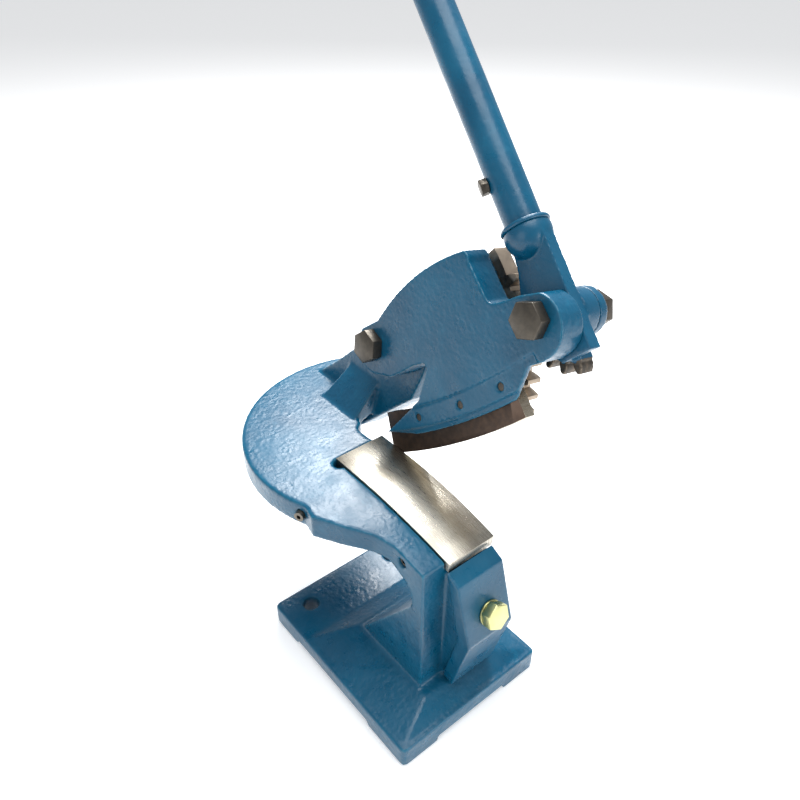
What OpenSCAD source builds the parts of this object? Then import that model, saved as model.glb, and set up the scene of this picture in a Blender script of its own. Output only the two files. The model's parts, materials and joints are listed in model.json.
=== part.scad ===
// Hand lever shear for sheet metal: a C-shaped casting carries a fixed lower blade, and a geared lever
// swings a jaw with the upper blade. X runs along the cut towards the operator, Z is up.
// The head (jaw, gears and lever) leans back about the line where the two blades pass each other.

/* [Base] */
// Length of the base along the cut
base_length = 225; // [210:1:240]
// Width of the base across the cut
base_width = 180; // [170:1:195]
// Height of the base edge above the floor
base_height = 26; // [22:1:28]
// Depth of the hollow between the corner feet
foot_relief = 6; // [3:1:8]
// Radius of the bench bolt holes
base_hole_r = 9; // [6:0.5:11]
// Distance from the base centre to the bench bolt holes, along the cut
base_hole_x = 89; // [84:1:94]
// Distance from the base centre to the bench bolt holes, across the cut
base_hole_y = 57; // [50:1:65]

/* [Frame] */
// Height of the flat top of the C-shaped plate
plate_top = 209; // [208:0.5:210]
// Thickness of the C-shaped plate
plate_thick = 27; // [24:1:32]
// Radius of the round back of the C-shaped plate
plate_r = 142; // [138:1:145]
// Height of the foot of the column
column_foot = 38; // [34:1:42]

/* [Blades] */
// Radius of the crowned top of the lower blade
lower_blade_r = 700; // [680:10:740]
// Radius of the cutting edge of the upper blade
upper_blade_r = 690; // [685:1:695]
// Width of the upper blade
upper_blade_w = 43; // [40:1:44]
// Thickness of the upper blade
upper_blade_t = 12; // [10:1:13]

/* [Head] */
// Lean of the head about the shear line, in degrees
head_lean = 13; // [13:1:13]
// Thickness of the jaw casting
jaw_thick = 28; // [28:1:28]
// Gear module
gear_module = 5; // [5:1:5]
// Teeth on a full circle of the lever pinion
pinion_teeth = 19; // [19:1:19]
// Teeth on a full circle of the fixed gear segment
segment_teeth = 66; // [66:1:66]

/* [Lever] */
// Lean of the handle behind the vertical, in degrees
lever_lean = 46.3; // [46.3:0.1:46.3]
// Outside radius of the handle pipe
pipe_r = 16.85; // [16:0.05:17.5]
// Distance from the lever pivot to the end of the handle
handle_reach = 720; // [450:10:900]

/* [Hidden] */
$fn = 64;
shear_y = 48.6;
shear_z = 210;
blade_floor = 187;
crown_x = -55;
pivot_x = -121;
pivot_u = 92;
centres = gear_module * (pinion_teeth + segment_teeth) / 2;
mesh_angle = 29.6;
lever_x = pivot_x + centres * cos(mesh_angle);
lever_u = pivot_u + centres * sin(mesh_angle);
edge_x = -431;
edge_u = 578;
gap = 0.3;
jaw_near = -8;
jaw_far = jaw_near + jaw_thick;
arm_near = jaw_far + gap;
gear_near = 34;
arm_far = 52;
link_near = arm_far + gap;
link_far = link_near + 10;
pivot_r = 10;
bush_r = 13;
running = 0.05;
hex_ratio = 1 / cos(30);
strap_y0 = -13.8;
strap_y1 = 43;
clamp_at = [107.4, 17, 139];
clamp_tilt = 73.7;
PAINT = "steelblue";

// Points along an arc, for outlines.
function arc(cx, cy, r, a0, a1, n = 16) =
    [for (i = [0:n]) [cx + r * cos(a0 + (a1 - a0) * i / n), cy + r * sin(a0 + (a1 - a0) * i / n)]];

// The leaning frame of the head: X along the cut, Y through the head, Z up the head.
module head() {
    translate([0, shear_y, shear_z]) rotate([-head_lean, 0, 0]) children();
}

// A plate in the head between two depths, from an outline in X and head height.
module slab(near, far) {
    translate([0, far, 0]) rotate([90, 0, 0]) linear_extrude(far - near) children();
}

// A round bar through the head between two depths.
module bar(x, u, r, near, far) {
    translate([x, near, u]) rotate([-90, 0, 0]) cylinder(r = r, h = far - near);
}

// A hexagon through the head, given its width across flats.
module hexagon(x, u, flats, near, far, turn = 0) {
    translate([x, near, u]) rotate([-90, 0, 0]) rotate([0, 0, turn])
        cylinder(r = flats / 2 * hex_ratio, h = far - near, $fn = 6);
}

// The lever's own frame: origin on the lever pivot, Z along the handle.
module lever() {
    head() translate([lever_x, 0, lever_u]) rotate([0, -lever_lean, 0]) children();
}

// Involute tooth, as an outline about the gear centre, pointing along +X.
function involute(rb, t) = [rb * sqrt(1 + t * t), t * 180 / PI - atan(t)];
function flank(rb, r) = involute(rb, sqrt(max(0, r * r / (rb * rb) - 1)));
module tooth(teeth) {
    rp = gear_module * teeth / 2;
    rb = rp * cos(20);
    tip = rp + 0.92 * gear_module;
    root = rp - 1.25 * gear_module;
    low = max(rb, root);
    half = 90 / teeth - 0.25 / rp * 90 / PI + flank(rb, rp)[1];
    steps = 6;
    right = [for (i = [0:steps]) let (r = low + (tip - low) * i / steps, a = half - flank(rb, r)[1])
             [r * cos(a), -r * sin(a)]];
    left = [for (i = [steps:-1:0]) let (r = low + (tip - low) * i / steps, a = half - flank(rb, r)[1])
            [r * cos(a), r * sin(a)]];
    foot = half - flank(rb, low)[1];
    sunk = root - 1;
    polygon(concat([[sunk * cos(foot), -sunk * sin(foot)]], right, left, [[sunk * cos(foot), sunk * sin(foot)]]));
}

module base_plate() {
    x0 = base_length / 2;
    y0 = base_width / 2;
    difference() {
        union() {
            linear_extrude(base_height) polygon(concat(
                arc(x0 - 5, y0 - 5, 5, 0, 90, 4), arc(5 - x0, y0 - 5, 5, 90, 180, 4),
                arc(5 - x0, 5 - y0, 5, 180, 270, 4), arc(x0 - 5, 5 - y0, 5, 270, 360, 4)));
            hull() {
                translate([-50, 5 - y0, base_height - 8]) cube([45 + x0, base_width - 10, 8]);
                translate([-24, -41, column_foot - 1]) cube([111, 86, 1]);
            }
        }
        // Shallow arches between the corner feet; the middle stays down as a fifth pad.
        for (s = [-1, 1]) {
            translate([-x0 + 42, s * y0 - 50, -1]) cube([base_length - 100, 100, foot_relief + 1]);
            translate([s * x0 - 50, -y0 + 45, -1]) cube([100, base_width - 90, foot_relief + 1]);
        }
        for (y = [-base_hole_y, base_hole_y]) translate([-base_hole_x, y, -1])
            cylinder(r = base_hole_r, h = base_height + 2);
    }
}

module column() {
    neck = concat([[75, plate_top - 12], [75, 30], [-30, 30]],
                  arc(-36, 62, 28, -78, -38, 6), arc(38, 152, 22, -40, 62, 10),
                  [[20, plate_top - plate_thick + 2], [20, plate_top - 12]]);
    translate([0, 40, 0]) rotate([90, 0, 0]) linear_extrude(78) polygon(neck);
    // Nose behind the clamp strap.
    translate([0, strap_y1 - 4, 0]) rotate([90, 0, 0]) linear_extrude(strap_y1 - strap_y0 - 8)
        polygon([[74, 186], [78.8, 186], [97.4, 115], [80, 46], [74, 36]]);
}

module c_plate_outline() {
    polygon(concat([[75, shear_y], [75, -38], [36, -38], [14, -45], [-10, -61], [-38, -77]],
                   arc(-112, 56, plate_r, -66, -206, 28),
                   [[-236, 124], [-220, 118], [-124, 45]], arc(-114, 45, 8, 190, 260, 5), [[-92, 37.5], [-91, shear_y]]));
}

// Solid under the crowned top line, which is flat behind the crown and falls towards the front.
module under_crown(top, floor) {
    translate([-300, -200, floor]) cube([300 + crown_x, 400, top - floor]);
    intersection() {
        translate([crown_x - 1, -200, floor]) cube([250, 400, top - floor]);
        translate([crown_x, 200, top - lower_blade_r]) rotate([90, 0, 0]) cylinder(r = lower_blade_r, h = 400, $fn = 180);
    }
}

module upper_arm() {
    head() {
        slab(arm_near, arm_far) polygon(concat([[-80, 44], [-149, -24], [-246, -24], [-246, -4], [-208, 30]],
                                               arc(pivot_x, pivot_u, 33, 190, 60, 14), [[-72, 100], [-70, 80]]));
        slab(arm_near, gear_near) polygon(concat([[pivot_x, pivot_u]], arc(pivot_x, pivot_u, 152, -3, 57, 24)));
    }
}

// Web that carries the top of the plate up into the arm, behind the reach of the jaw.
module arm_web() {
    hull() {
        head() translate([-182, arm_near, 6]) cube([50, 8, 34]);
        translate([-192, 42, plate_top - 8]) cube([60, 10, 7.7]);
    }
}

module frame_casting() {
    color(PAINT) difference() {
        union() {
            base_plate();
            column();
            intersection() {
                translate([0, 0, plate_top - plate_thick]) linear_extrude(plate_thick) c_plate_outline();
                under_crown(plate_top, plate_top - plate_thick - 1);
            }
            upper_arm();
            arm_web();
        }
        // Pocket of the lower blade, with a relief hole in its back corner.
        translate([-91.2, -11, blade_floor]) cube([180, 80, 40]);
        translate([-84, -11, blade_floor]) cylinder(r = 7, h = 40);
        // Room for the jaw and the upper blade behind the shear plane.
        head() {
            translate([-131, -0.5, -62]) cube([239, 20.5, 80]);
            bar(pivot_x, pivot_u, bush_r, arm_near - 1, arm_far + 1);
            for (a = segment_angles) bar(pivot_x + 126 * cos(a), pivot_u + 126 * sin(a), 4, arm_near - 1, arm_far);
            for (a = dowel_angles) bar(pivot_x + 112 * cos(a), pivot_u + 112 * sin(a), 3, arm_near - 1, arm_far);
        }
        for (p = jack_places) translate([p[0], p[1], p[2]]) rotate([90, 0, p[3]]) cylinder(r = 5, h = 30, center = true);
        for (x = blade_screw_x) translate([x, 14, blade_floor - 40]) cylinder(r = 5, h = 60);
        translate(clamp_at) rotate([0, clamp_tilt, 0]) translate([0, 0, -60]) cylinder(r = 8, h = 70);
    }
}
segment_angles = [4, 18, 32, 46];
dowel_angles = [11, 39];
blade_screw_x = [-62, 0];
jack_places = [[-56, -82, 195, 26], [46, -38, 190, 0]];

module jack_screws() {
    color("dimgray") for (p = jack_places) translate([p[0], p[1], p[2]]) rotate([90, 0, p[3]])
        translate([0, 0, -15]) difference() {
            cylinder(r = 5, h = 12);
            translate([0, 0, 8]) cylinder(r = 2.5, h = 6, $fn = 6);
        }
}

module lower_blade() {
    color("silver") difference() {
        intersection() {
            translate([-91, -10.6, blade_floor]) cube([170, 80, 40]);
            under_crown(shear_z, blade_floor);
        }
        head() translate([-120, -0.1, -80]) cube([240, 60, 120]);
        for (x = blade_screw_x) translate([x, 14, blade_floor - 1]) cylinder(r = 5, h = 13);
    }
}

module lower_blade_screws() {
    color("dimgray") for (x = blade_screw_x) translate([x, 14, 0]) {
        translate([0, 0, plate_top - plate_thick - 8]) cylinder(r = 8, h = 8);
        translate([0, 0, plate_top - plate_thick - 1]) cylinder(r = 5, h = 16);
    }
}

module clamp_strap() {
    color(PAINT) difference() {
        translate([0, strap_y1, 0]) rotate([90, 0, 0]) linear_extrude(strap_y1 - strap_y0)
            polygon([[79.3, 189], [95, 181], [114, 116], [94, 40], [81, 46], [98, 115]]);
        translate(clamp_at) rotate([0, clamp_tilt, 0]) translate([0, 0, -40]) cylinder(r = 8.5, h = 80);
    }
}

module clamp_washer() {
    color("khaki") translate(clamp_at) rotate([0, clamp_tilt, 0]) difference() {
        cylinder(r = 13, h = 2.5);
        translate([0, 0, -1]) cylinder(r = 8.4, h = 5);
    }
}

module clamp_bolt() {
    color("khaki") translate(clamp_at) rotate([0, clamp_tilt, 0]) {
        translate([0, 0, 2.5]) cylinder(r = 12 * hex_ratio, h = 10, $fn = 6);
        translate([0, 0, -55]) cylinder(r = 8, h = 58);
    }
}

module jaw_pivot_bush() {
    color("darkgoldenrod") head() difference() {
        bar(pivot_x, pivot_u, bush_r, arm_near, arm_far);
        bar(pivot_x, pivot_u, pivot_r + running, arm_near - 1, arm_far + 1);
    }
}

module gear_segment() {
    rp = gear_module * segment_teeth / 2;
    root = rp - 1.25 * gear_module;
    step = 360 / segment_teeth;
    color("tan") head() difference() {
        slab(gear_near, arm_far - gap) {
            polygon(concat(arc(pivot_x, pivot_u, root, -4, 44, 40), arc(pivot_x, pivot_u, 160, 44, 55, 8),
                           arc(pivot_x, pivot_u, 96, 57, -4, 24)));
            for (k = [-6:2]) translate([pivot_x, pivot_u]) rotate(mesh_angle + (k + 0.5) * step) tooth(segment_teeth);
        }
        for (a = segment_angles) {
            bar(pivot_x + 126 * cos(a), pivot_u + 126 * sin(a), 4, gear_near - 1, arm_far + 1);
            bar(pivot_x + 126 * cos(a), pivot_u + 126 * sin(a), 7, arm_far - 8, arm_far + 1);
        }
        for (a = dowel_angles) bar(pivot_x + 112 * cos(a), pivot_u + 112 * sin(a), 3, gear_near - 1, arm_far + 1);
    }
}

module segment_screws() {
    color("dimgray") head() for (a = segment_angles) {
        bar(pivot_x + 126 * cos(a), pivot_u + 126 * sin(a), 4, arm_near + 1, arm_far - 8);
        bar(pivot_x + 126 * cos(a), pivot_u + 126 * sin(a), 6.9, arm_far - 8, arm_far - 1);
    }
}

module segment_dowels() {
    color("silver") head() for (a = dowel_angles)
        bar(pivot_x + 112 * cos(a), pivot_u + 112 * sin(a), 3, arm_near + 1, arm_far - 1);
}

// Ring sector between two radii about the centre of the upper cutting edge.
module edge_band(r_in, r_out, a0, a1) {
    polygon(concat(arc(edge_x, edge_u, r_out, a0, a1, 24), arc(edge_x, edge_u, r_in, a1, a0, 24)));
}

module jaw_outline() {
    polygon(concat(arc(88, 27, 228, 120, 156, 16), arc(-117, 91, 27, 156, 296, 14), [[-87, 72], [-74, 83], [-60, 97]],
                   arc(-46, 101, 5, 150, 0, 6), [[-43, 68], [-79, 11.5]],
                   arc(edge_x, edge_u, upper_blade_r - 17, -54.4, -42.6, 16), [[69, 157], [84, 168]],
                   arc(65, 191, 29, -50, 95, 14), [[42, 209], [26, 197]], arc(14, 198, 6, -60, -130, 4),
                   [[-19, 217]], arc(-26, 216, 7, 20, 110, 5)));
}

module jaw_casting() {
    color(PAINT) head() difference() {
        slab(jaw_near, jaw_far) jaw_outline();
        // Seat of the upper blade on the far side, and the shallow band on the near side.
        slab(0.2, jaw_far + 1) edge_band(upper_blade_r - upper_blade_w, upper_blade_r + 20, -61, -39);
        slab(jaw_near - 1, jaw_near + 2) edge_band(upper_blade_r - 44, upper_blade_r + 20, -61, -39);
        slab(jaw_near - 1, jaw_near + 5) edge_band(upper_blade_r - 23, upper_blade_r + 20, -61, -39);
        bar(pivot_x, pivot_u, pivot_r, jaw_near - 1, jaw_far + 1);
        bar(lever_x, lever_u, pivot_r, jaw_near - 1, jaw_far + 1);
        for (a = upper_screw_angles) bar(edge_x + 657 * cos(a), edge_u + 657 * sin(a), 4, jaw_near - 1, 1);
    }
}
upper_screw_angles = [-53.5, -48.2, -43.4];

module upper_blade() {
    color("saddlebrown") head() difference() {
        slab(0.2, 0.2 + upper_blade_t) edge_band(upper_blade_r - upper_blade_w, upper_blade_r, -58.2, -42.6);
        for (a = upper_screw_angles) {
            bar(edge_x + 657 * cos(a), edge_u + 657 * sin(a), 4, -1, upper_blade_t + 1);
            bar(edge_x + 657 * cos(a), edge_u + 657 * sin(a), 7, upper_blade_t - 5, upper_blade_t + 1);
        }
    }
}

module upper_blade_screws() {
    color("dimgray") head() for (a = upper_screw_angles) {
        bar(edge_x + 657 * cos(a), edge_u + 657 * sin(a), 4, jaw_near + 4, upper_blade_t - 5);
        bar(edge_x + 657 * cos(a), edge_u + 657 * sin(a), 6.9, upper_blade_t - 5, upper_blade_t);
    }
}

// A pivot bolt with its head on the jaw and its thread behind the rear link plate.
module pivot_bolt(x, u, turn) {
    hexagon(x, u, 30, jaw_near - 12, jaw_near, turn);
    bar(x, u, pivot_r, jaw_near - 2, link_far + 20);
}

module pivot_washer(x, u) {
    difference() {
        bar(x, u, 18, link_far, link_far + 3);
        bar(x, u, pivot_r, link_far - 1, link_far + 4);
    }
}

module pivot_nut(x, u) {
    difference() {
        hexagon(x, u, 30, link_far + 3, link_far + 18, 10);
        bar(x, u, pivot_r, link_far, link_far + 30);
    }
}

module jaw_pivot_bolt() { color("dimgray") head() pivot_bolt(pivot_x, pivot_u, 20); }
module jaw_pivot_washer() { color("dimgray") head() pivot_washer(pivot_x, pivot_u); }
module jaw_pivot_nut() { color("dimgray") head() pivot_nut(pivot_x, pivot_u); }
module lever_pivot_bolt() { color("dimgray") head() pivot_bolt(lever_x, lever_u, 40); }
module lever_pivot_washer() { color("dimgray") head() pivot_washer(lever_x, lever_u); }
module lever_pivot_nut() { color("dimgray") head() pivot_nut(lever_x, lever_u); }

module rear_link_plate() {
    side = [-sin(mesh_angle), cos(mesh_angle)] * 19;
    color(PAINT) head() difference() {
        union() {
            bar(pivot_x, pivot_u, 22, link_near, link_far);
            bar(lever_x, lever_u, 22, link_near, link_far);
            slab(link_near, link_far) polygon([[pivot_x, pivot_u] + side, [lever_x, lever_u] + side,
                                               [lever_x, lever_u] - side, [pivot_x, pivot_u] - side]);
        }
        bar(pivot_x, pivot_u, pivot_r, link_near - 1, link_far + 1);
        bar(lever_x, lever_u, pivot_r, link_near - 1, link_far + 1);
    }
}

module lever_head() {
    step = 360 / pinion_teeth;
    root = gear_module * (pinion_teeth / 2 - 1.25);
    color(PAINT) lever() {
        difference() {
            union() {
                // Flat web from the hub to the socket, with a straight front edge.
                slab(arm_near, gear_near) {
                    polygon([[20, -38], [20, 76], [-16, 76], [-20, 50], [-34, 12], [-34, -12], [-12, -38]]);
                    difference() {
                        circle(r = 34);
                        translate([20, -40]) square(80);
                    }
                }
                // Hub and the toothed part of the pinion.
                slab(gear_near, arm_far - gap) {
                    circle(r = 22);
                    polygon(concat([[0, 0]], arc(0, 0, root, 180 + mesh_angle - lever_lean - 30,
                                                 180 + mesh_angle - lever_lean + 5.4 * step, 24)));
                    for (k = [-1:5]) rotate(180 + mesh_angle - lever_lean + k * step) tooth(pinion_teeth);
                }
                translate([0, 27, 74.5]) sphere(r = 21.5);
                translate([0, 27, 74]) cylinder(r = 13.5, h = 78);
            }
            translate([0, arm_near - 30, 0]) rotate([-90, 0, 0]) cylinder(r = bush_r, h = 100);
            translate([0, 27, 80]) difference() {
                cylinder(r = 30, h = 30);
                translate([0, 0, -1]) cylinder(r = 13.5, h = 40);
            }
            handle_bolt_place() cylinder(r = 4, h = 40, center = true);
        }
    }
}

// Axis of the small bolt that holds the pipe on its spigot.
module handle_bolt_place() {
    translate([0, 27, 127]) rotate([0, 0, -40]) rotate([90, 0, 0]) children();
}

module lever_bush() {
    color("darkgoldenrod") lever() difference() {
        bar(0, 0, bush_r, arm_near, arm_far - gap);
        bar(0, 0, pivot_r + running, arm_near - 1, arm_far + 1);
    }
}

module handle_pipe() {
    color(PAINT) lever() difference() {
        translate([0, 27, 84]) cylinder(r = pipe_r, h = handle_reach - 84);
        translate([0, 27, 80]) cylinder(r = 13.6, h = handle_reach);
        handle_bolt_place() cylinder(r = 4.1, h = 30);
    }
}

module collar_ring() {
    color(PAINT) lever() translate([0, 27, 80]) rotate_extrude() polygon([[13.6, 0], [21.5, 0], [22.5, 1.5],
        [21.5, 4], [13.6, 4]]);
}

module handle_bolt() {
    color("dimgray") lever() handle_bolt_place() {
        cylinder(r = 4, h = pipe_r + 2);
        translate([0, 0, pipe_r + 0.05]) cylinder(r = 6.5 * hex_ratio, h = 7, $fn = 6);
    }
}

module handle_end_plug() {
    color(PAINT) lever() translate([0, 27, handle_reach]) {
        cylinder(r = pipe_r, h = 4);
        translate([0, 0, -15]) cylinder(r = 13.6, h = 15);
    }
}

frame_casting();
jack_screws();
lower_blade();
lower_blade_screws();
clamp_strap();
clamp_washer();
clamp_bolt();
jaw_pivot_bush();
gear_segment();
segment_screws();
segment_dowels();
jaw_casting();
upper_blade();
upper_blade_screws();
jaw_pivot_bolt();
jaw_pivot_washer();
jaw_pivot_nut();
rear_link_plate();
lever_pivot_bolt();
lever_pivot_washer();
lever_pivot_nut();
lever_head();
lever_bush();
handle_pipe();
collar_ring();
handle_bolt();
handle_end_plug();
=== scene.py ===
"""Looks for a hand lever shear: hammered blue paint on soft-edged castings, ground and oxided steel, machined bolts."""

import json
import math

import bmesh
import bpy
from mathutils import Matrix, Vector

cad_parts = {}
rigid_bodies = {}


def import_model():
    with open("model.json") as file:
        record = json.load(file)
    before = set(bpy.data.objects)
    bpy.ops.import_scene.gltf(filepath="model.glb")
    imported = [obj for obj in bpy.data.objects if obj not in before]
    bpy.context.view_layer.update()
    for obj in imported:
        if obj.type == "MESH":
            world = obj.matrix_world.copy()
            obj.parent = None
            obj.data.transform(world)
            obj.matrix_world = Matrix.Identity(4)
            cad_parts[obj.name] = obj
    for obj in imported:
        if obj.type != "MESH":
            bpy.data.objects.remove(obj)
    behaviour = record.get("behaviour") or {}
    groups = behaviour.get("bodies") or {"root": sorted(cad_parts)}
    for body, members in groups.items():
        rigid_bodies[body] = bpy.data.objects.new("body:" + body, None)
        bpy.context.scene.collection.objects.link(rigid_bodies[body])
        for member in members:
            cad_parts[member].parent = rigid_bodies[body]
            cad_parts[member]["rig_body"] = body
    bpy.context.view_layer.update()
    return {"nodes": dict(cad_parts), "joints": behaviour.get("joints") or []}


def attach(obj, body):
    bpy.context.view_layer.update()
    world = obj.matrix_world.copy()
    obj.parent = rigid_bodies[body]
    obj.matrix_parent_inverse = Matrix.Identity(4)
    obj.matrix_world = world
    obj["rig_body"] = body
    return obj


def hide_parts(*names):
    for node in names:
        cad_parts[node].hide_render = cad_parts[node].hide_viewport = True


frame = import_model()
MM = 0.001
HEAD_LEAN = math.radians(13)
SHEAR_LINE = Vector((0, 48.6, 210)) * MM
AXIS = Vector(frame["joints"][0]["axis"])
UP_HEAD = Vector((0, math.sin(HEAD_LEAN), math.cos(HEAD_LEAN)))


def head_point(x, u, n):
    """A point from its place in the leaning head: along the cut, up the head, and away from the jaw, in mm."""
    return SHEAR_LINE + (Vector((x, 0, 0)) + UP_HEAD * u + AXIS * n) * MM


# ---------------------------------------------------------------- materials

class Shader:
    """A Principled material with short helpers for its procedural nodes."""

    def __init__(self, name, colour, metallic, roughness):
        self.mat = bpy.data.materials.new(name)
        self.mat.use_nodes = True
        self.nodes = self.mat.node_tree.nodes
        self.links = self.mat.node_tree.links
        self.bsdf = self.nodes["Principled BSDF"]
        self.bsdf.inputs["Base Color"].default_value = (*colour, 1)
        self.bsdf.inputs["Metallic"].default_value = metallic
        self.bsdf.inputs["Roughness"].default_value = roughness
        self.place = self.nodes.new("ShaderNodeTexCoord").outputs["Object"]

    def noise(self, scale, detail=4, stretch=None):
        node = self.nodes.new("ShaderNodeTexNoise")
        node.inputs["Scale"].default_value = scale
        node.inputs["Detail"].default_value = detail
        self.links.new(self.stretched(stretch), node.inputs["Vector"])
        return node.outputs["Fac"]

    def cells(self, scale):
        node = self.nodes.new("ShaderNodeTexVoronoi")
        node.feature = "SMOOTH_F1"
        node.inputs["Scale"].default_value = scale
        self.links.new(self.place, node.inputs["Vector"])
        return node.outputs["Distance"]

    def stretched(self, stretch):
        if stretch is None:
            return self.place
        node = self.nodes.new("ShaderNodeMapping")
        node.inputs["Scale"].default_value = stretch
        self.links.new(self.place, node.inputs["Vector"])
        return node.outputs["Vector"]

    def span(self, value, low, high, to_low=0.0, to_high=1.0):
        node = self.nodes.new("ShaderNodeMapRange")
        for name, number in (("From Min", low), ("From Max", high), ("To Min", to_low), ("To Max", to_high)):
            node.inputs[name].default_value = number
        self.links.new(value, node.inputs["Value"])
        return node.outputs["Result"]

    def maths(self, kind, a, b):
        node = self.nodes.new("ShaderNodeMath")
        node.operation = kind
        for socket, value in zip(node.inputs, (a, b)):
            if isinstance(value, (int, float)):
                socket.default_value = value
            else:
                self.links.new(value, socket)
        return node.outputs[0]

    def blend(self, factor, a, b):
        node = self.nodes.new("ShaderNodeMix")
        node.data_type = "RGBA"
        self.links.new(factor, node.inputs["Factor"])
        for name, value in (("A", a), ("B", b)):
            socket = [s for s in node.inputs if s.name == name and s.type == "RGBA"][0]
            if isinstance(value, tuple):
                socket.default_value = (*value, 1)
            else:
                self.links.new(value, socket)
        return [s for s in node.outputs if s.type == "RGBA"][0]

    def edges(self, low=0.505, high=0.53):
        return self.span(self.nodes.new("ShaderNodeNewGeometry").outputs["Pointiness"], low, high)

    def colour(self, value):
        self.links.new(value, self.bsdf.inputs["Base Color"])

    def rough(self, value):
        self.links.new(value, self.bsdf.inputs["Roughness"])

    def bump(self, *layers):
        """Layers of (height, strength, depth in metres), one on top of another."""
        normal = None
        for height, strength, depth in layers:
            node = self.nodes.new("ShaderNodeBump")
            node.inputs["Strength"].default_value = strength
            node.inputs["Distance"].default_value = depth
            self.links.new(height, node.inputs["Height"])
            if normal:
                self.links.new(normal, node.inputs["Normal"])
            normal = node.outputs["Normal"]
        self.links.new(normal, self.bsdf.inputs["Normal"])


def blue_paint(name, texture):
    """Glossy enamel over a cast or rolled skin; texture sets how coarse the skin under it is."""
    s = Shader(name, (0.01, 0.15, 0.28), 0.0, 0.3)
    s.bsdf.inputs["Coat Weight"].default_value = 0.2
    s.bsdf.inputs["Coat Roughness"].default_value = 0.16
    s.bsdf.inputs["Specular IOR Level"].default_value = 0.38
    tint = s.blend(s.span(s.noise(14, 3), 0.35, 0.65), (0.0006, 0.072, 0.145), (0.0012, 0.100, 0.190))
    dust = s.span(s.noise(90, 6), 0.58, 0.75, 0, 0.35)
    tint = s.blend(dust, tint, (0.006, 0.14, 0.245))
    s.colour(s.blend(s.edges(0.52, 0.60), tint, (0.02, 0.20, 0.31)) if texture > 0.5 else tint)
    s.rough(s.span(s.noise(55, 5), 0.3, 0.7, 0.22, 0.46))
    s.bump((s.cells(230), 0.5 * texture, 0.0008), (s.noise(420, 5), 0.35 * texture, 0.0006),
           (s.noise(60, 3), 0.3 * texture, 0.0012))
    return s.mat


def brushed(name, colour, dark, across, roughness, groove):
    """Bare steel with grinding lines; across is the stretch that lays the lines along one axis."""
    s = Shader(name, colour, 1.0, roughness)
    lines = s.noise(1.0, 6, across)
    stain = s.span(s.noise(24, 5), 0.42, 0.7)
    s.colour(s.blend(stain, s.blend(s.span(lines, 0.35, 0.65), colour, dark), dark))
    s.rough(s.span(lines, 0.3, 0.7, roughness - 0.08, roughness + 0.14))
    s.bump((lines, groove, 0.0002), (s.noise(800, 3), 0.08, 0.0001))
    return s.mat


def oxide(name, colour, warm, roughness, metallic=0.8):
    """Blackened or plated steel with a fine grain and handling marks on its edges."""
    s = Shader(name, colour, metallic, roughness)
    mottle = s.span(s.noise(170, 6), 0.4, 0.66)
    worn = s.blend(s.edges(0.53, 0.6), s.blend(mottle, colour, warm), tuple(min(1, 2.6 * c + 0.04) for c in warm))
    s.colour(worn)
    s.rough(s.span(s.noise(120, 4), 0.3, 0.7, roughness - 0.08, roughness + 0.15))
    s.bump((s.noise(900, 4), 0.2, 0.0002), (s.cells(500), 0.12, 0.0002))
    return s.mat


CAST = blue_paint("blue_cast_paint", 1.0)
SMOOTH = blue_paint("blue_smooth_paint", 0.45)
GROUND = brushed("ground_steel", (0.62, 0.585, 0.51), (0.30, 0.27, 0.22), (60, 2600, 60), 0.3, 0.25)
EDGE = brushed("ground_edge", (0.70, 0.64, 0.52), (0.36, 0.30, 0.22), (2200, 60, 200), 0.26, 0.2)
DARK_BLADE = oxide("blackened_blade", (0.022, 0.014, 0.010), (0.055, 0.032, 0.020), 0.42, 0.7)
BLACK = oxide("black_oxide", (0.016, 0.015, 0.013), (0.05, 0.042, 0.032), 0.38)
ZINC = oxide("yellow_zinc", (0.33, 0.33, 0.16), (0.42, 0.38, 0.17), 0.3, 0.95)
SEGMENT = oxide("bare_segment", (0.075, 0.066, 0.056), (0.15, 0.12, 0.09), 0.45, 0.85)
BRONZE = brushed("turned_bronze", (0.55, 0.36, 0.16), (0.3, 0.18, 0.08), (500, 500, 500), 0.35, 0.15)


# ---------------------------------------------------------------- pieces made from CAD shapes

SMOOTH_STEP = 0.5
MERGE_DISTANCE = 1e-6
FLAT_ANGLE = math.radians(1)
CHAMFER_ANGLE = math.radians(35)
CHAMFER_SEGMENTS = 2
SHARP_ANGLE = math.radians(40)


def copy_of(node, name, voxel, rounds, keep):
    """A cast version of a CAD node: its edges and inner corners melt into small radii."""
    source = frame["nodes"][node]
    piece = bpy.data.objects.new(name, source.data.copy())
    bpy.context.scene.collection.objects.link(piece)
    piece.data.materials.clear()
    remesh = piece.modifiers.new("skin", "REMESH")
    remesh.mode = "VOXEL"
    remesh.voxel_size = voxel * MM
    smooth = piece.modifiers.new("round", "SMOOTH")
    smooth.factor = SMOOTH_STEP
    smooth.iterations = rounds
    thin = piece.modifiers.new("thin", "DECIMATE")
    thin.ratio = keep
    graph = bpy.context.evaluated_depsgraph_get()
    mesh = bpy.data.meshes.new_from_object(piece.evaluated_get(graph))
    piece.modifiers.clear()
    piece.data = mesh
    mesh.shade_smooth()
    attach(piece, source["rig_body"])
    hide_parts(node)
    return piece


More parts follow.
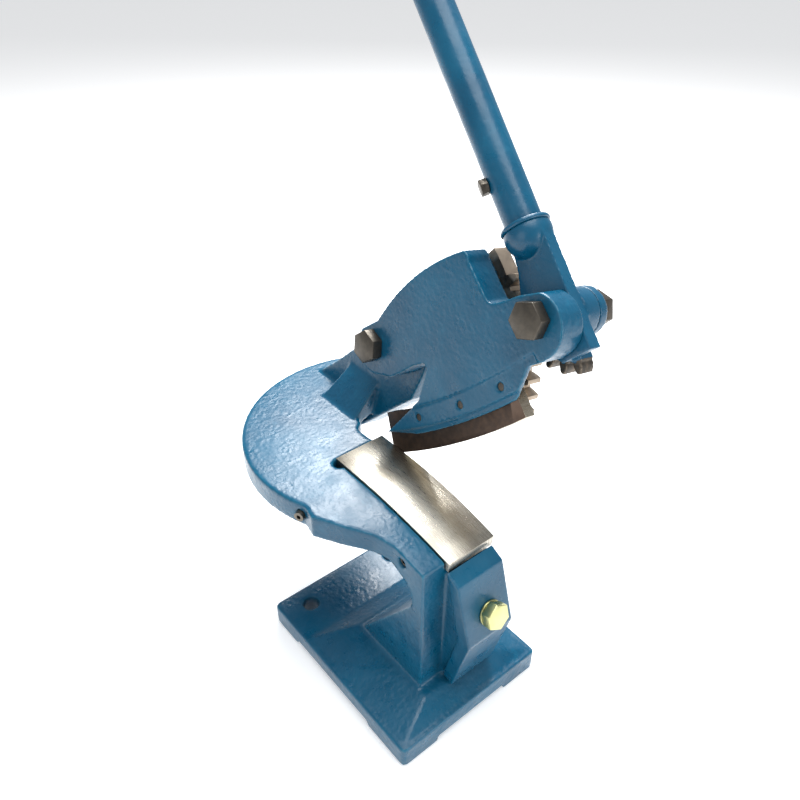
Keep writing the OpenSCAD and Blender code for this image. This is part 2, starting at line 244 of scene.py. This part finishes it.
def bevelled(node, name, width):
    """A machined version of a CAD node: its sharp edges carry a small chamfer."""
    source = frame["nodes"][node]
    piece = bpy.data.objects.new(name, source.data.copy())
    bpy.context.scene.collection.objects.link(piece)
    mesh = bmesh.new()
    mesh.from_mesh(piece.data)
    bmesh.ops.remove_doubles(mesh, verts=mesh.verts, dist=MERGE_DISTANCE)
    bmesh.ops.dissolve_limit(mesh, angle_limit=FLAT_ANGLE, verts=mesh.verts, edges=mesh.edges)
    mesh.to_mesh(piece.data)
    mesh.free()
    bevel = piece.modifiers.new("chamfer", "BEVEL")
    bevel.width = width * MM
    bevel.segments = CHAMFER_SEGMENTS
    bevel.limit_method = "ANGLE"
    bevel.angle_limit = CHAMFER_ANGLE
    graph = bpy.context.evaluated_depsgraph_get()
    shape = bpy.data.meshes.new_from_object(piece.evaluated_get(graph))
    piece.modifiers.clear()
    piece.data = shape
    shape.shade_smooth()
    shape.set_sharp_from_angle(angle=SHARP_ANGLE)
    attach(piece, source["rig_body"])
    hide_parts(node)
    return piece


def paint_faces(piece, materials, choose):
    """Gives each face the material whose index choose(centre, normal) returns."""
    piece.data.materials.clear()
    for material in materials:
        piece.data.materials.append(material)
    for face in piece.data.polygons:
        face.material_index = choose(face.center, face.normal)


def plain(centre, normal):
    return 0


# ---------------------------------------------------------------- camera, floor and lights

CAMERA_AT = Vector((0.4132, -0.3412, 0.710))
LOOK = Vector((-0.629, 0.517, -0.581)).normalized()
RIGHT = Vector((0.635, 0.773, 0)).normalized()
SENSOR_WIDTH = 36
LENS = 34.6
CLIP_NEAR = 0.02
CLIP_FAR = 60
camera = bpy.data.objects.new("camera", bpy.data.cameras.new("camera"))
bpy.context.scene.collection.objects.link(camera)
camera.data.sensor_width = SENSOR_WIDTH
camera.data.lens = LENS
camera.data.clip_start = CLIP_NEAR
camera.data.clip_end = CLIP_FAR
axes = Matrix((RIGHT, RIGHT.cross(LOOK), -LOOK)).transposed().to_4x4()
camera.matrix_world = Matrix.Translation(CAMERA_AT) @ axes
bpy.context.scene.camera = camera

FLOOR_HALF = 12
FLOOR_COLOUR = (0.86, 0.86, 0.86)
FLOOR_ROUGHNESS = 0.75
FLOOR_GLOW = 0.42
SKY_COLOUR = (0.93, 0.96, 1.0)
SKY_STRENGTH = 0.38

ground = bpy.data.meshes.new("floor")
ground.from_pydata([(x, y, 0) for x, y in ((-1, -1), (1, -1), (1, 1), (-1, 1))], [], [(0, 1, 2, 3)])
ground.transform(Matrix.Diagonal((FLOOR_HALF, FLOOR_HALF, 1, 1)))
floor = bpy.data.objects.new("floor", ground)
bpy.context.scene.collection.objects.link(floor)
pale = Shader("pale_floor", FLOOR_COLOUR, 0.0, FLOOR_ROUGHNESS)
pale.bsdf.inputs["Emission Color"].default_value = (1, 1, 1, 1)
pale.bsdf.inputs["Emission Strength"].default_value = FLOOR_GLOW
floor.data.materials.append(pale.mat)

world = bpy.data.worlds.new("studio")
world.use_nodes = True
world.node_tree.nodes["Background"].inputs["Color"].default_value = (*SKY_COLOUR, 1)
world.node_tree.nodes["Background"].inputs["Strength"].default_value = SKY_STRENGTH
bpy.context.scene.world = world
bpy.context.scene.view_settings.view_transform = "Standard"


def softbox(name, place, aim, size, power):
    lamp = bpy.data.lights.new(name, "AREA")
    lamp.size = size
    lamp.energy = power
    holder = bpy.data.objects.new(name, lamp)
    bpy.context.scene.collection.objects.link(holder)
    holder.location = place
    holder.rotation_mode = "QUATERNION"
    holder.rotation_quaternion = (Vector(place) - Vector(aim)).to_track_quat("Z", "Y")


softbox("key", (-1.0, 0.9, 1.7), (-0.05, 0, 0.2), 1.0, 62)
softbox("top", (0.1, 0.1, 2.2), (0, 0, 0.2), 1.4, 26)
softbox("fill", (0.3, -1.8, 0.9), (0, 0, 0.2), 1.2, 6)
softbox("front", (1.6, 0.4, 0.7), (0, 0, 0.2), 0.8, 8)

# ---------------------------------------------------------------- castings

paint_faces(copy_of("frame_casting", "cast_frame", 1.7, 7, 0.4), [CAST], plain)
paint_faces(copy_of("jaw_casting", "cast_jaw", 1.2, 5, 0.4), [CAST], plain)
paint_faces(copy_of("clamp_strap", "painted_strap", 1.2, 3, 0.4), [SMOOTH], plain)
paint_faces(copy_of("rear_link_plate", "painted_link", 1.2, 3, 0.4), [SMOOTH], plain)

LEVER_PIVOT = Vector(frame["joints"][1]["pos_m"])
TOOTH_ROOT = 40.0 * MM
TOOTH_TIP = TOOTH_ROOT * 1.4
GEAR_DEPTH = -2.0 * MM


def tooth_or_paint(centre, normal):
    """The pinion teeth are bare; the rest of the lever head is painted."""
    off = centre - LEVER_PIVOT
    depth = off.dot(AXIS)
    around = (off - AXIS * depth).length
    return 1 if depth > GEAR_DEPTH and TOOTH_ROOT < around < TOOTH_TIP else 0


paint_faces(copy_of("lever_head", "forged_lever_head", 1.1, 2, 0.5), [SMOOTH, SEGMENT], tooth_or_paint)
paint_faces(bevelled("collar_ring", "collar", 0.6), [SMOOTH], plain)

# ---------------------------------------------------------------- blades and machined pieces

# The cutting edge of the upper blade is an arc about this point.
EDGE_CENTRE = head_point(-431, 578, 0)
BRIGHT_FROM = 688.6 * MM
FRONT_FACING = 0.6


def blade_face(centre, normal):
    """Only the ground front end and the cutting edge of the upper blade are bright."""
    off = centre - EDGE_CENTRE
    from_centre = (off - AXIS * off.dot(AXIS)).length
    return 1 if normal.x > FRONT_FACING or from_centre > BRIGHT_FROM else 0


paint_faces(bevelled("upper_blade", "upper_blade_ground", 1.0), [DARK_BLADE, EDGE], blade_face)
paint_faces(bevelled("lower_blade", "lower_blade_ground", 0.5), [GROUND], plain)
paint_faces(bevelled("gear_segment", "segment_cut", 0.5), [SEGMENT], plain)
for node in ("jaw_pivot_bolt", "lever_pivot_bolt", "jaw_pivot_nut", "lever_pivot_nut", "handle_bolt"):
    paint_faces(bevelled(node, node + "_finished", 1.1), [BLACK], plain)
for node in ("clamp_bolt", "clamp_washer"):
    paint_faces(bevelled(node, node + "_finished", 0.8), [ZINC], plain)

NODE_MATERIALS = {
    "jack_screws": BLACK, "lower_blade_screws": BLACK, "segment_screws": BLACK, "upper_blade_screws": BLACK,
    "jaw_pivot_washer": BLACK, "lever_pivot_washer": BLACK, "segment_dowels": GROUND,
    "jaw_pivot_bush": BRONZE, "lever_bush": BRONZE, "handle_pipe": SMOOTH, "handle_end_plug": SMOOTH,
}
for node, material in NODE_MATERIALS.items():
    frame["nodes"][node].data.materials.clear()
    frame["nodes"][node].data.materials.append(material)
